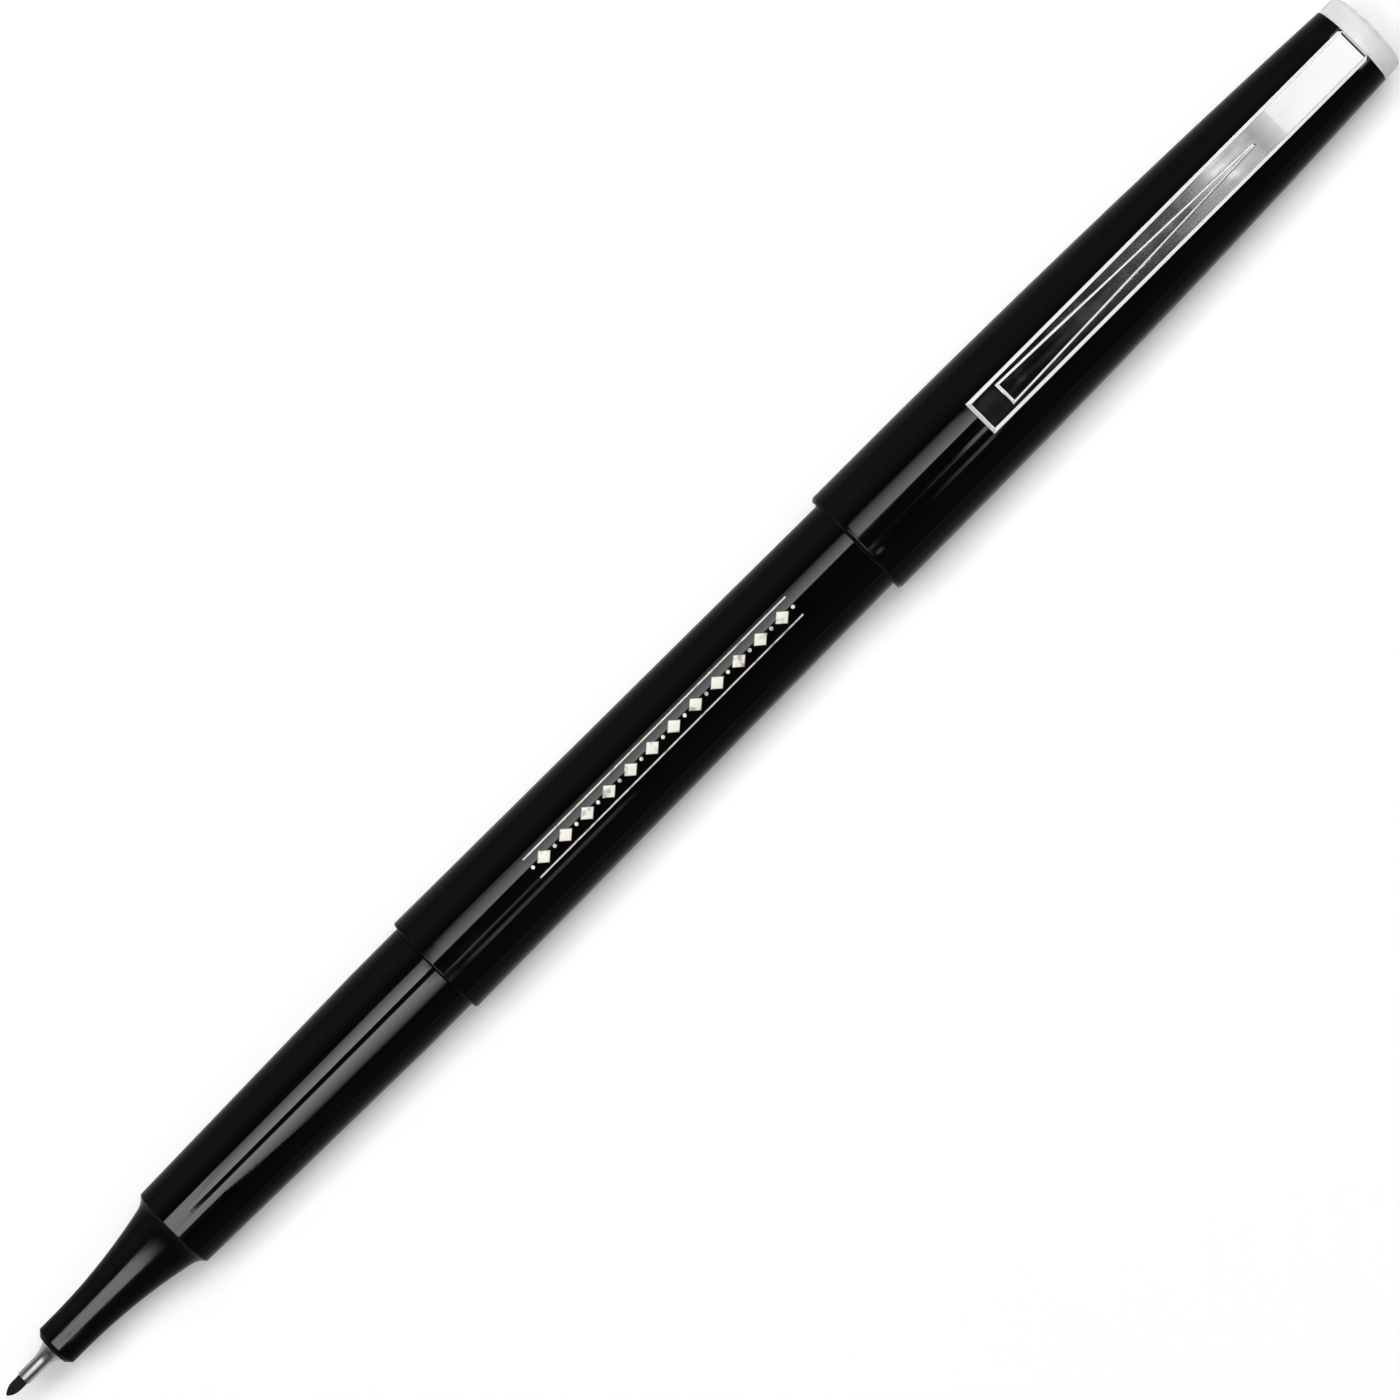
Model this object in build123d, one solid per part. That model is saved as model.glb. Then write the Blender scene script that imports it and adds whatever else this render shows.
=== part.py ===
from build123d import *
import os
from math import cos, pi, sin, sqrt

# A fineliner pen with its cap posted on the tail of the barrel.
# Everything is first built along X from the fibre point with the pen's axis at zero height,
# then moved so that the middle of the lowest line is the origin. All lengths are millimetres.

# Fits and clearances
press_gap = 0.02
nib_gap = 0.02
film_gap = 0.02
reservoir_play = 0.04
seal_play = 0.03
posting_gap = 0.05
land_gap = 0.16
cut_overrun = 1.0

# Fibre tip
nib_radius = 0.5
nib_exposed = 1.9
nib_point_radius = 0.1
nib_point_length = 1.15
nib_reach = 3.5

# Metal tip sleeve
sleeve_neck_wall = 0.1
sleeve_neck_length = 1.8
sleeve_flare_length = 1.55
sleeve_flare_rise = 0.48
sleeve_shank_length = 6.0

# Nose cone
nose_length = 13.8
nose_face_wall = 0.8
nose_face_edge = 0.44
nose_straight_length = 1.75
nose_flare_length = 1.05
nose_flare_rise = 0.68
nose_shoulder_step = 0.03
nose_air_gap = 0.3
nose_spigot_length = 7.4
vent_count = 3
vent_width = 0.6
vent_depth = 0.35

# Ink reservoir and its film
reservoir_radius = 3.0
reservoir_front_gap = 0.05
reservoir_rear_gap = 0.3
film_thickness = 0.1
film_margin = 0.5

# Grip section
grip_length = 29.75
grip_land_length = 5.3
grip_front_wall = 0.66
grip_socket_wall = 1.05
grip_web_length = 0.6
grip_spigot_wall = 0.59
grip_spigot_length = 8.2

# Barrel
barrel_length = 75.6
barrel_wall = 0.99
barrel_rear_wall = 0.84
barrel_front_edge = 0.12
barrel_socket_room = 0.2
rib_count = 4
rib_height = 0.2
rib_width = 0.6
rib_margin = 1.0
rib_root = 0.2

# Tail plug
tail_flange_length = 1.2
tail_spigot_length = 6.0
tail_spigot_wall = 0.75
tail_floor = 0.6
tail_edge = 0.35

# Cap shell
cap_wall = 0.64
cap_lip_edge = 0.25
cap_straight_length = 9.5
cap_side_bands = 2
cap_land_length = 18.0
cap_end_wall = 1.26
cap_step_lead = 0.45
tail_room = 1.85

# Inner cap
seal_gap = 0.05
tip_room = 0.6
inner_cap_wall = 0.42
inner_cap_floor = 0.8

# Cap plug
plug_stem_radius = 2.58
plug_stem_length = 5.0
plug_socket_length = 6.4
plug_flange_length = 1.95
plug_inset = 0.02
plug_edge = 0.7
plug_edge_steps = 2
plug_flat_gap = 0.06

# Pocket clip
clip_width = 3.3
clip_thickness = 0.4
clip_length = 42.6
clip_root_gap = 0.06
clip_upper_length = 10.1
clip_shoulder_gap = 0.5
clip_end_gap = 0.05
clip_shoulder_bend = 25.0
clip_bevel_width = 0.3
clip_bevel_depth = 0.34
clip_end_bevel_depth = 0.235
hook_bend = 0.3
hook_leg_length = 2.5
hook_wall_gap = 0.2
hook_plug_gap = 0.03
hook_notch_room = 0.2
hook_side_gap = 0.06

# Raised panel on the clip
panel_end_margin = 2.78
panel_shoulder_margin = 1.4
panel_wide_half = 1.07
panel_narrow_half = 0.18
panel_height = 0.2
panel_wall_angle = 40

# Radii worked outwards from what each piece holds
sleeve_bore = nib_radius + nib_gap
sleeve_neck_radius = sleeve_bore + sleeve_neck_wall
sleeve_shank_radius = sleeve_neck_radius + sleeve_flare_rise
nose_socket_radius = sleeve_shank_radius + press_gap
nose_front_radius = nose_socket_radius + nose_face_wall
nose_channel_radius = nib_radius + nose_air_gap
nib_hole_radius = nib_radius + nib_gap

film_inner_radius = reservoir_radius + film_gap
film_outer_radius = film_inner_radius + film_thickness
grip_bore = film_outer_radius + reservoir_play
grip_front_radius = grip_bore + grip_front_wall
grip_socket_radius = grip_front_radius - grip_socket_wall
grip_spigot_radius = grip_bore + grip_spigot_wall
nose_shoulder_radius = grip_front_radius - nose_shoulder_step
nose_rear_radius = nose_shoulder_radius - nose_flare_rise
nose_spigot_radius = grip_socket_radius - press_gap

barrel_socket_radius = grip_spigot_radius + press_gap
barrel_front_radius = barrel_socket_radius + barrel_wall
barrel_bore = grip_bore + rib_height
barrel_rear_radius = barrel_bore + barrel_rear_wall
tail_spigot_radius = barrel_bore - press_gap
tail_cup_radius = tail_spigot_radius - tail_spigot_wall

# Stations along the pen, counted from the fibre point
sleeve_front = nib_exposed
sleeve_flare_start = sleeve_front + sleeve_neck_length
nose_front = sleeve_flare_start + sleeve_flare_length
sleeve_end = nose_front + sleeve_shank_length
shoulder = nose_front + nose_length
nose_flare_start = shoulder - nose_flare_length
nose_spigot_end = shoulder + nose_spigot_length
grip_web_end = nose_spigot_end + grip_web_length
barrel_front = shoulder + grip_length
grip_land_start = barrel_front - grip_land_length
grip_spigot_end = barrel_front + grip_spigot_length
barrel_rear = barrel_front + barrel_length
tail_front = barrel_rear - tail_spigot_length
tail_end = barrel_rear + tail_flange_length
reservoir_front = grip_web_end + reservoir_front_gap
reservoir_end = tail_front - reservoir_rear_gap
nib_end = reservoir_front + nib_reach

# The cap's depths come from the nose it seals when the pen is capped
mouth_depth = barrel_front - nose_flare_start + seal_gap
floor_depth = barrel_front + tip_room
posted_depth = mouth_depth - tail_room
cap_lip = tail_end - posted_depth
cap_step = cap_lip + mouth_depth - cap_step_lead
inner_cap_mouth = cap_lip + mouth_depth
inner_cap_floor_inside = cap_lip + floor_depth
inner_cap_end = inner_cap_floor_inside + inner_cap_floor
socket_floor = inner_cap_end + press_gap
cap_end = socket_floor + plug_socket_length
plug_stem_end = cap_end - plug_stem_length
overall_length = cap_end + plug_flange_length

# Radii of the cap, from the barrel it is posted on and the cup it holds
barrel_taper = (barrel_front_radius - barrel_rear_radius) / barrel_length
barrel_radius_at_lip = barrel_front_radius - barrel_taper * (cap_lip - barrel_front)
cap_bore = barrel_radius_at_lip + posting_gap
barrel_radius_at_land_end = barrel_radius_at_lip - barrel_taper * cap_land_length
cap_bore_deep = barrel_radius_at_land_end + posting_gap
cap_lip_radius = cap_bore + cap_wall
grip_land_radius = cap_bore - land_gap
inner_cap_bore = nose_rear_radius + seal_play
inner_cap_radius = inner_cap_bore + inner_cap_wall
cup_seat_radius = inner_cap_radius + press_gap
plug_socket_radius = plug_stem_radius + press_gap
cap_end_radius = plug_socket_radius + cap_end_wall
plug_flange_radius = cap_end_radius - plug_inset

# The cap's side follows one long arc that starts level near the lip, in straight bands
cap_arc_start = cap_lip + cap_straight_length
cap_arc_run = cap_end - cap_arc_start
cap_arc_drop = cap_lip_radius - cap_end_radius
cap_arc_radius = (cap_arc_run**2 + cap_arc_drop**2) / (2 * cap_arc_drop)


def cap_radius_at(station):
    run = max(station - cap_arc_start, 0)
    return cap_lip_radius - cap_arc_radius + sqrt(cap_arc_radius**2 - run**2)


# Clip heights, each the middle of the strip above the pen's axis
clip_half = clip_thickness / 2
clip_end = cap_end - clip_length
clip_shoulder = cap_end - clip_upper_length
hook_bridge = cap_end - hook_plug_gap - clip_half
hook_leg_end = hook_bridge - hook_leg_length
hook_bore_height = sqrt(plug_socket_radius**2 - (clip_width / 2) ** 2)
hook_leg_height = hook_bore_height - hook_wall_gap - clip_half
clip_root_height = cap_end_radius + clip_root_gap + clip_half
clip_shoulder_height = cap_radius_at(clip_shoulder) + clip_shoulder_gap + clip_half
clip_end_height = cap_radius_at(clip_end) + clip_end_gap + clip_half
plug_flat_height = hook_leg_height - clip_half - plug_flat_gap
hook_notch_floor = hook_bridge - clip_half - hook_notch_room


def turned(*curves):
    # A closed outline of station and radius, turned about the pen's axis
    edges = [edge for curve in curves for edge in curve.edges()]
    return revolve(make_face(edges), Axis.X)


def block(low, high):
    # A box between two corners
    size = [far - near for near, far in zip(low, high)]
    middle = [(far + near) / 2 for near, far in zip(low, high)]
    return Pos(*middle) * Box(*size)


def rounded(station, height, radius, steps):
    # Points of a quarter round, from level to straight down, inside the corner given
    turns = [index * pi / 2 / steps for index in range(steps + 1)]
    return [(station - radius + radius * sin(turn), height - radius + radius * cos(turn)) for turn in turns]


def fibre_tip():
    # A bullet-shaped point worn flat at its very end, on a plain rod
    point = TangentArc((nib_point_length, nib_radius), (0, nib_point_radius), tangent=(-1, 0))
    rod = Polyline(
        (0, nib_point_radius),
        (0, 0),
        (nib_end, 0),
        (nib_end, nib_radius),
        (nib_point_length, nib_radius),
    )
    return turned(point, rod)


def tip_sleeve():
    flare = TangentArc(
        (sleeve_flare_start, sleeve_neck_radius),
        (nose_front, sleeve_shank_radius),
        tangent=(1, 0),
    )
    rest = Polyline(
        (nose_front, sleeve_shank_radius),
        (sleeve_end, sleeve_shank_radius),
        (sleeve_end, sleeve_bore),
        (sleeve_front, sleeve_bore),
        (sleeve_front, sleeve_neck_radius),
        (sleeve_flare_start, sleeve_neck_radius),
    )
    return turned(flare, rest)


def nose_cone():
    trumpet = TangentArc(
        (nose_front + nose_straight_length, nose_front_radius),
        (nose_flare_start, nose_rear_radius),
        tangent=(1, 0),
    )
    rest = Polyline(
        trumpet @ 1,
        (shoulder, nose_shoulder_radius),
        (shoulder, nose_spigot_radius),
        (nose_spigot_end, nose_spigot_radius),
        (nose_spigot_end, nose_channel_radius),
        (sleeve_end + press_gap, nose_channel_radius),
        (sleeve_end + press_gap, nose_socket_radius),
        (nose_front, nose_socket_radius),
        (nose_front, nose_front_radius - nose_face_edge),
        (nose_front + nose_face_edge, nose_front_radius),
        (nose_front + nose_straight_length, nose_front_radius),
    )
    nose = turned(trumpet, rest)
    vent = block(
        (shoulder + grip_web_length, -vent_width / 2, nose_spigot_radius - vent_depth),
        (nose_spigot_end + cut_overrun, vent_width / 2, nose_spigot_radius + cut_overrun),
    )
    for index in range(vent_count):
        nose -= Rot(X=360 * index / vent_count) * vent
    return nose


def grip_section():
    outline = Polyline(
        (shoulder, grip_socket_radius),
        (shoulder, grip_front_radius),
        (grip_land_start, grip_land_radius),
        (barrel_front, grip_land_radius),
        (barrel_front, grip_spigot_radius),
        (grip_spigot_end, grip_spigot_radius),
        (grip_spigot_end, grip_bore),
        (grip_web_end, grip_bore),
        (grip_web_end, grip_socket_radius),
        close=True,
    )
    return turned(outline)


def barrel():
    socket_end = grip_spigot_end + barrel_socket_room
    outline = Polyline(
        (barrel_front, barrel_socket_radius),
        (barrel_front, barrel_front_radius - barrel_front_edge),
        (barrel_front + barrel_front_edge, barrel_front_radius - barrel_taper * barrel_front_edge),
        (barrel_rear, barrel_rear_radius),
        (barrel_rear, barrel_bore),
        (socket_end, barrel_bore),
        (socket_end, barrel_socket_radius),
        close=True,
    )
    tube = turned(outline)
    rib = block(
        (socket_end + rib_margin, -rib_width / 2, barrel_bore - rib_height),
        (tail_front - rib_margin, rib_width / 2, barrel_bore + rib_root),
    )
    for index in range(rib_count):
        tube += Rot(X=360 * index / rib_count) * rib
    return tube


def tail_plug():
    cup_floor = barrel_rear - tail_floor
    outline = Polyline(
        (cup_floor, 0),
        (cup_floor, tail_cup_radius),
        (tail_front, tail_cup_radius),
        (tail_front, tail_spigot_radius),
        (barrel_rear, tail_spigot_radius),
        (barrel_rear, barrel_rear_radius),
        (tail_end - tail_edge, barrel_rear_radius),
        (tail_end, barrel_rear_radius - tail_edge),
        (tail_end, 0),
        close=True,
    )
    return turned(outline)


def ink_reservoir():
    outline = Polyline(
        (reservoir_front, nib_hole_radius),
        (reservoir_front, reservoir_radius),
        (reservoir_end, reservoir_radius),
        (reservoir_end, 0),
        (nib_end + nib_gap, 0),
        (nib_end + nib_gap, nib_hole_radius),
        close=True,
    )
    return turned(outline)


def reservoir_film():
    outline = Polyline(
        (reservoir_front + film_margin, film_inner_radius),
        (reservoir_front + film_margin, film_outer_radius),
        (reservoir_end - film_margin, film_outer_radius),
        (reservoir_end - film_margin, film_inner_radius),
        close=True,
    )
    return turned(outline)


def cap_shell():
    band_length = (cap_end - cap_arc_start) / cap_side_bands
    side_stations = [cap_arc_start + band_length * index for index in range(cap_side_bands + 1)]
    outline = Polyline(
        (cap_lip, cap_bore),
        (cap_lip, cap_lip_radius - cap_lip_edge),
        (cap_lip + cap_lip_edge, cap_lip_radius),
        *[(station, cap_radius_at(station)) for station in side_stations],
        (cap_end, plug_socket_radius),
        (socket_floor, plug_socket_radius),
        (socket_floor, cup_seat_radius),
        (cap_step, cup_seat_radius),
        (cap_step, cap_bore_deep),
        (cap_lip + cap_land_length, cap_bore_deep),
        (cap_lip + cap_land_length, cap_bore),
        close=True,
    )
    shell = turned(outline)
    notch_half = clip_width / 2 + hook_side_gap
    notch = block(
        (hook_notch_floor, -notch_half, 0),
        (cap_end + cut_overrun, notch_half, cap_end_radius + cut_overrun),
    )
    return shell - notch


def inner_cap():
    outline = Polyline(
        (inner_cap_mouth, inner_cap_bore),
        (inner_cap_mouth, inner_cap_radius),
        (inner_cap_end, inner_cap_radius),
        (inner_cap_end, 0),
        (inner_cap_floor_inside, 0),
        (inner_cap_floor_inside, inner_cap_bore),
        close=True,
    )
    return turned(outline)


def cap_plug():
    outline = Polyline(
        (plug_stem_end, 0),
        (plug_stem_end, plug_stem_radius),
        (cap_end, plug_stem_radius),
        (cap_end, plug_flange_radius),
        *rounded(overall_length, plug_flange_radius, plug_edge, plug_edge_steps),
        (overall_length, 0),
        close=True,
    )
    plug = turned(outline)
    flat = block(
        (plug_stem_end - cut_overrun, -plug_stem_radius, plug_flat_height),
        (cap_end, plug_stem_radius, plug_stem_radius + cut_overrun),
    )
    return plug - flat


def pocket_clip():
    # One stamped strip: hook leg, bridge over the cap's end, sloping back and long straight run
    corners = [
        (hook_leg_end, 0, hook_leg_height),
        (hook_bridge, 0, hook_leg_height),
        (hook_bridge, 0, clip_root_height),
        (clip_shoulder, 0, clip_shoulder_height),
        (clip_end, 0, clip_end_height),
    ]
    path = FilletPolyline(*corners, radius=[hook_bend, hook_bend, clip_shoulder_bend])
    half_width = clip_width / 2
    flat_half = half_width - clip_bevel_width
    outline = Polyline(
        (-half_width, clip_half),
        (half_width, clip_half),
        (half_width, clip_bevel_depth - clip_half),
        (flat_half, -clip_half),
        (-flat_half, -clip_half),
        (-half_width, clip_bevel_depth - clip_half),
        close=True,
    )
    start = Plane(origin=path @ 0, x_dir=(0, 1, 0), z_dir=path % 0)
    strip = sweep(start * make_face(outline), path=path)

    # The run's outer face, with its origin at the middle of the strip's end
    end_point = Vector(*corners[-1])
    run = Vector(*corners[-2]) - end_point
    along = run.normalized()
    outward = along.cross(Vector(0, 1, 0))
    outer_face = Plane(origin=end_point + outward * clip_half, x_dir=along, z_dir=outward)
    bevel_point = outer_face.origin + along * clip_bevel_width
    bevel_normal = outward * clip_bevel_width - along * clip_end_bevel_depth
    strip = split(strip, bisect_by=Plane(origin=bevel_point, z_dir=bevel_normal), keep=Keep.BOTTOM)
    return strip + raised_panel(outer_face, run.length - panel_shoulder_margin)


def raised_panel(outer_face, panel_end):
    # The long tapered panel pressed up out of the run, with sloping walls
    outline = Polyline(
        (panel_end_margin, -panel_wide_half),
        (panel_end, -panel_narrow_half),
        (panel_end, panel_narrow_half),
        (panel_end_margin, panel_wide_half),
        close=True,
    )
    return extrude(outer_face * make_face(outline), amount=panel_height, taper=panel_wall_angle)


os.makedirs("parts", exist_ok=True)
makers = [
    fibre_tip,
    tip_sleeve,
    nose_cone,
    grip_section,
    barrel,
    tail_plug,
    ink_reservoir,
    reservoir_film,
    cap_shell,
    inner_cap,
    cap_plug,
    pocket_clip,
]
for maker in makers:
    piece = Pos(-overall_length / 2, 0, cap_lip_radius) * maker()
    export_step(piece, f"parts/{maker.__name__}.step")
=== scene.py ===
import math

import bpy
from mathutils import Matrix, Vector


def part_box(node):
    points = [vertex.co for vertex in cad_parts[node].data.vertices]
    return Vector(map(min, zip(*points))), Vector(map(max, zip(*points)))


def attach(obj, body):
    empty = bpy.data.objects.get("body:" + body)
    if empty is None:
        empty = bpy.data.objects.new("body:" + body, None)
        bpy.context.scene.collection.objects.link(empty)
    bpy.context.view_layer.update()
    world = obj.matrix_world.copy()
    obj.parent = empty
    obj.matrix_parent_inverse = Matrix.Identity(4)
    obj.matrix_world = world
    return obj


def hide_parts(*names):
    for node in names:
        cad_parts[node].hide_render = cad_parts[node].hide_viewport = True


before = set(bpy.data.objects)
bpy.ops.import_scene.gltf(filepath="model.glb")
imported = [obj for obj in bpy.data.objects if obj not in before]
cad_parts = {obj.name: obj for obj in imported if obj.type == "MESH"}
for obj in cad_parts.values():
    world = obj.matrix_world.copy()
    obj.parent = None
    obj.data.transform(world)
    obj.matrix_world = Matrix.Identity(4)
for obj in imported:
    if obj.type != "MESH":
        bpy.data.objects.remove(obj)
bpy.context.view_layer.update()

mm = 0.001
print("frame loaded:", len(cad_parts), "nodes")


# shared measures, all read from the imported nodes, in millimetres
def span(node):
    low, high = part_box(node)
    return low.x / mm, high.x / mm, (high.z - low.z) / 2 / mm  # front, back, outer radius


capLow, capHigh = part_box("cap_shell")
axisHeight = (capLow.z + capHigh.z) / 2 / mm
barrelFront, barrelBack, barrelFrontRadius = span("barrel")
tailFront, tailBack, barrelBackRadius = span("tail_plug")
capLip, capEnd, capLipRadius = span("cap_shell")
gripFront, gripBack, gripLandRadius = span("grip_section")
noseFront, noseBack, noseShoulderRadius = span("nose_cone")
plugFront, plugBack, plugRadius = span("cap_plug")


def barrelRadiusAt(station):
    share = (station - barrelFront) / (barrelBack - barrelFront)
    return barrelFrontRadius + (barrelBackRadius - barrelFrontRadius) * share


# modelling helpers; points closer than these are joined, in millimetres
joinWithin = {"lathe": 0.002, "cut": 0.01, "round": 0.0005, "slice": 0.001}


def deselectAll():
    if bpy.context.object and bpy.context.object.mode != "OBJECT":
        bpy.ops.object.mode_set(mode="OBJECT")
    bpy.ops.object.select_all(action="DESELECT")


def namePiece(name):
    piece = bpy.context.object
    piece.name = name
    piece.data.name = name
    bpy.ops.object.transform_apply(location=True, rotation=True, scale=True)
    return piece


def curvePoints(start, radius, fromTurn, toTurn, steps):
    # an arc by its heading, which turns from one angle to the other, in degrees
    bend = math.copysign(radius, toTurn - fromTurn)
    first = math.radians(fromTurn)
    points = []
    for step in range(1, steps + 1):
        turn = math.radians(fromTurn + (toTurn - fromTurn) * step / steps)
        along = bend * (math.sin(turn) - math.sin(first))
        outward = bend * (math.cos(first) - math.cos(turn))
        points.append((start[0] + along, start[1] + outward))
    return points


def headingAt(start, end, fromTurn):
    # heading on arrival, for the arc that leaves start at one heading and reaches end
    return 2 * math.degrees(math.atan2(end[1] - start[1], end[0] - start[0])) - fromTurn


def arcTo(start, end, fromTurn, steps):
    toTurn = headingAt(start, end, fromTurn)
    chord = math.hypot(end[0] - start[0], end[1] - start[1])
    radius = chord / (2 * math.sin(math.radians(abs(toTurn - fromTurn)) / 2))
    return curvePoints(start, radius, fromTurn, toTurn, steps)


def turnPiece(name, outline, sides=128, tube=False):
    # a ring at the first point is extruded and resized from point to point, as on a lathe
    deselectAll()
    station, radius = outline[0]
    bpy.ops.mesh.primitive_circle_add(vertices=sides, radius=radius * mm,
                                      location=(station * mm, 0, axisHeight * mm),
                                      rotation=(0, math.pi / 2, 0))
    piece = namePiece(name)
    bpy.ops.object.mode_set(mode="EDIT")
    bpy.ops.mesh.select_all(action="SELECT")
    for nextStation, nextRadius in outline[1:]:
        step = ((nextStation - station) * mm, 0, 0)
        bpy.ops.mesh.extrude_region_move(TRANSFORM_OT_translate={"value": step})
        grow = nextRadius / radius
        centre = (nextStation * mm, 0, axisHeight * mm)
        bpy.ops.transform.resize(value=(1, grow, grow), center_override=centre)
        station, radius = nextStation, nextRadius
    bpy.ops.mesh.select_all(action="SELECT")
    if tube:
        bpy.ops.mesh.remove_doubles(threshold=joinWithin["lathe"] * mm)  # the last ring meets the first
    else:
        bpy.ops.mesh.fill_holes(sides=0)
    bpy.ops.mesh.normals_make_consistent(inside=False)
    bpy.ops.object.mode_set(mode="OBJECT")
    return piece


def mergeClose(distance):
    # joins points of the active piece that lie closer than this, so that no sliver is left
    bpy.ops.object.mode_set(mode="EDIT")
    bpy.ops.mesh.select_all(action="SELECT")
    bpy.ops.mesh.remove_doubles(threshold=distance * mm)
    bpy.ops.object.mode_set(mode="OBJECT")


def cutBox(piece, low, high):
    # takes a box out of a piece
    deselectAll()
    middle = [(near + far) / 2 * mm for near, far in zip(low, high)]
    bpy.ops.mesh.primitive_cube_add(size=1, location=middle)
    cutter = bpy.context.object
    cutter.scale = [(far - near) * mm for near, far in zip(low, high)]
    bpy.ops.object.transform_apply(location=True, rotation=True, scale=True)
    deselectAll()
    bpy.context.view_layer.objects.active = piece
    piece.select_set(True)
    cut = piece.modifiers.new("cut", "BOOLEAN")
    cut.operation = "DIFFERENCE"
    cut.solver = "EXACT"
    cut.object = cutter
    bpy.ops.object.modifier_apply(modifier=cut.name)
    bpy.data.objects.remove(cutter)
    mergeClose(joinWithin["cut"])


def softenEdges(piece, width, steps=3, fromAngle=28, smoothUnder=40):
    # small rounds on every crisp edge, with the large faces kept flat in their shading
    deselectAll()
    bpy.context.view_layer.objects.active = piece
    piece.select_set(True)
    bevel = piece.modifiers.new("edgeRound", "BEVEL")
    bevel.width = width * mm
    bevel.segments = steps
    bevel.limit_method = "ANGLE"
    bevel.angle_limit = math.radians(fromAngle)
    bpy.ops.object.modifier_apply(modifier=bevel.name)
    mergeClose(joinWithin["round"])
    bpy.ops.object.shade_smooth_by_angle(angle=math.radians(smoothUnder))
    weigh = piece.modifiers.new("evenNormals", "WEIGHTED_NORMAL")
    weigh.keep_sharp = True
    bpy.ops.object.modifier_apply(modifier=weigh.name)


def seatPiece(piece, body, node, material):
    piece.data.materials.clear()
    piece.data.materials.append(material)
    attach(piece, body)
    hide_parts(node)
    print(piece.name, "made:", len(piece.data.polygons), "faces")


# material helpers
def newMaterial(name):
    material = bpy.data.materials.new(name)
    material.use_nodes = True
    nodes = material.node_tree.nodes
    nodes.clear()
    output = nodes.new("ShaderNodeOutputMaterial")
    shader = nodes.new("ShaderNodeBsdfPrincipled")
    material.node_tree.links.new(shader.outputs["BSDF"], output.inputs["Surface"])
    return material, shader


def newGroup(name, inputs, outputs):
    group = bpy.data.node_groups.new(name, "ShaderNodeTree")
    for label, value in inputs.items():
        socket = group.interface.new_socket(name=label, in_out="INPUT", socket_type="NodeSocketFloat")
        socket.default_value = value
    for label in outputs:
        group.interface.new_socket(name=label, in_out="OUTPUT", socket_type="NodeSocketFloat")
    return group, group.nodes.new("NodeGroupInput"), group.nodes.new("NodeGroupOutput")


def addNode(tree, kind, **settings):
    node = tree.nodes.new(kind)
    for key, value in settings.items():
        setattr(node, key, value)
    return node


def addMath(tree, operation, first, second):
    # a Math node whose two inputs are sockets or plain numbers
    node = addNode(tree, "ShaderNodeMath", operation=operation)
    for socket, value in zip(node.inputs, (first, second)):
        if isinstance(value, (int, float)):
            socket.default_value = value
        else:
            tree.links.new(value, socket)
    return node.outputs["Value"]


def addRange(tree, value, fromLow, fromHigh, toLow, toHigh):
    node = addNode(tree, "ShaderNodeMapRange")
    for label, entry in zip(("Value", "From Min", "From Max", "To Min", "To Max"),
                            (value, fromLow, fromHigh, toLow, toHigh)):
        if isinstance(entry, (int, float)):
            node.inputs[label].default_value = entry
        else:
            tree.links.new(entry, node.inputs[label])
    return node.outputs["Result"]


def useGroup(tree, group, **inputs):
    node = addNode(tree, "ShaderNodeGroup", node_tree=group)
    for label, value in inputs.items():
        node.inputs[label].default_value = value
    return node


def mixColours(tree, mask, first, second):
    node = addNode(tree, "ShaderNodeMix", data_type="RGBA")
    tree.links.new(mask, node.inputs["Factor"])
    for socket, colour in zip((node.inputs[6], node.inputs[7]), (first, second)):
        if isinstance(colour, tuple):
            socket.default_value = (*colour, 1)
        else:
            tree.links.new(colour, socket)
    return node.outputs[2]


def addBump(tree, shader, height, strength, depth):
    bump = addNode(tree, "ShaderNodeBump")
    bump.inputs["Strength"].default_value = strength
    bump.inputs["Distance"].default_value = depth * mm
    tree.links.new(height, bump.inputs["Height"])
    tree.links.new(bump.outputs["Normal"], shader.inputs["Normal"])


# shared finishes as node groups
mouldedSkin = {"broadDetail": 4, "fineDetail": 2, "fineScale": 9.0, "polishSpan": (0.35, 0.7)}
hairlines = {"turnAndStretch": ((12, 0.05), (-38, 0.08)), "detail": 1, "maskSpan": (0.66, 0.74)}
drawnStreaks = {"detail": 3}


def makeSkinGroup():
    # moulded skin: broad polish differences and a faint ripple
    group, given, result = newGroup("mouldedSkin", {"Size": 300, "Polished": 0.04, "Dull": 0.1},
                                    ["Roughness", "Tone", "Height"])
    place = addNode(group, "ShaderNodeTexCoord")
    broad = addNode(group, "ShaderNodeTexNoise")
    broad.inputs["Detail"].default_value = mouldedSkin["broadDetail"]
    group.links.new(place.outputs["Object"], broad.inputs["Vector"])
    group.links.new(given.outputs["Size"], broad.inputs["Scale"])
    fine = addNode(group, "ShaderNodeTexNoise")
    fine.inputs["Detail"].default_value = mouldedSkin["fineDetail"]
    group.links.new(place.outputs["Object"], fine.inputs["Vector"])
    fineSize = addMath(group, "MULTIPLY", given.outputs["Size"], mouldedSkin["fineScale"])
    group.links.new(fineSize, fine.inputs["Scale"])
    rough = addRange(group, broad.outputs["Fac"], *mouldedSkin["polishSpan"],
                     given.outputs["Polished"], given.outputs["Dull"])
    group.links.new(rough, result.inputs["Roughness"])
    group.links.new(broad.outputs["Fac"], result.inputs["Tone"])
    group.links.new(fine.outputs["Fac"], result.inputs["Height"])
    return group


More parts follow.
